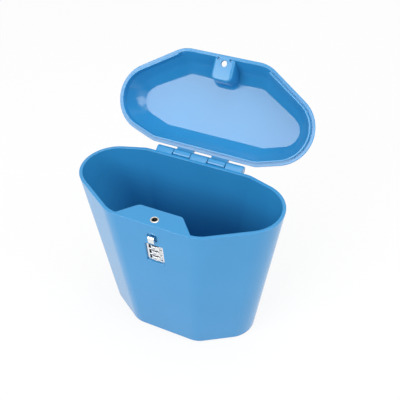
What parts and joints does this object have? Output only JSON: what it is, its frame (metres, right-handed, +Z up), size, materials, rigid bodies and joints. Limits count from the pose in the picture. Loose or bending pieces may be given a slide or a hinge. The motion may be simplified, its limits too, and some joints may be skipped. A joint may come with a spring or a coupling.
{
  "type": "portable beach safe",
  "caption": "Tapered plastic tub with a hinged tray lid, a dial lock behind its front wall, and an eyelet and a lid pocket for a locking cable.",
  "frame": {"origin": "centre of the flat base, on the surface that the safe stands on", "axes": "+Z up, -Y toward the front wall with the dials, +X to the right of someone who faces the front"},
  "size_m": [0.186, 0.1646, 0.2226],
  "materials": {
    "blue_plastic": "glossy injection-moulded",
    "chrome_plate": "polished plating",
    "brass": "turned",
    "zinc_casting": "as cast",
    "steel": "zinc-plated"
  },
  "bodies": {
    "safe": {"tub": "blue_plastic", "hinge_pin": "steel", "lock_housing": "blue_plastic", "housing_screws": "steel", "eyelet": "chrome_plate", "dial_frame": "chrome_plate", "lock_case": "zinc_casting", "case_screws": "steel", "return_spring": "steel", "detent_spring": "steel"},
    "lid": {"lid": "blue_plastic"},
    "first_dial": {"dial_1": "chrome_plate", "code_sleeve_1": "brass"},
    "second_dial": {"dial_2": "chrome_plate", "code_sleeve_2": "brass"},
    "third_dial": {"dial_3": "chrome_plate", "code_sleeve_3": "brass"},
    "release": {"release_button": "chrome_plate", "release_carrier": "zinc_casting", "spindle": "steel", "spindle_clip": "steel", "drive_pin": "steel"},
    "latch": {"latch_plate": "steel"}
  },
  "joints": [
    {"name": "lid_hinge", "type": "hinge", "parent": "safe", "child": "lid", "pos_m": [0, 0.0495, 0.1496], "axis": [1, 0, 0], "range_deg": [0, 127]},
    {"name": "first_dial_turn", "type": "hinge", "parent": "safe", "child": "first_dial", "pos_m": [0, -0.03497, 0.12362], "axis": [0, -0.0637, 0.998], "continuous": true},
    {"name": "second_dial_turn", "type": "hinge", "parent": "safe", "child": "second_dial", "pos_m": [0, -0.03456, 0.11713], "axis": [0, -0.0637, 0.998], "continuous": true},
    {"name": "third_dial_turn", "type": "hinge", "parent": "safe", "child": "third_dial", "pos_m": [0, -0.03415, 0.11064], "axis": [0, -0.0637, 0.998], "continuous": true},
    {"name": "release_slide", "type": "slide", "parent": "safe", "child": "release", "axis": [0, 0.0637, -0.998], "range_m": [0, 0.004], "stiffness_N_per_m": 250, "springref_m": -0.004, "deforming": ["return_spring"]},
    {"name": "latch_slide", "type": "slide", "parent": "safe", "child": "latch", "axis": [-1, 0, 0], "range_m": [0, 0.0032]}
  ],
  "couplings": [
    {"joint": "latch_slide", "follows": "release_slide", "ratio": 0.8}
  ]
}
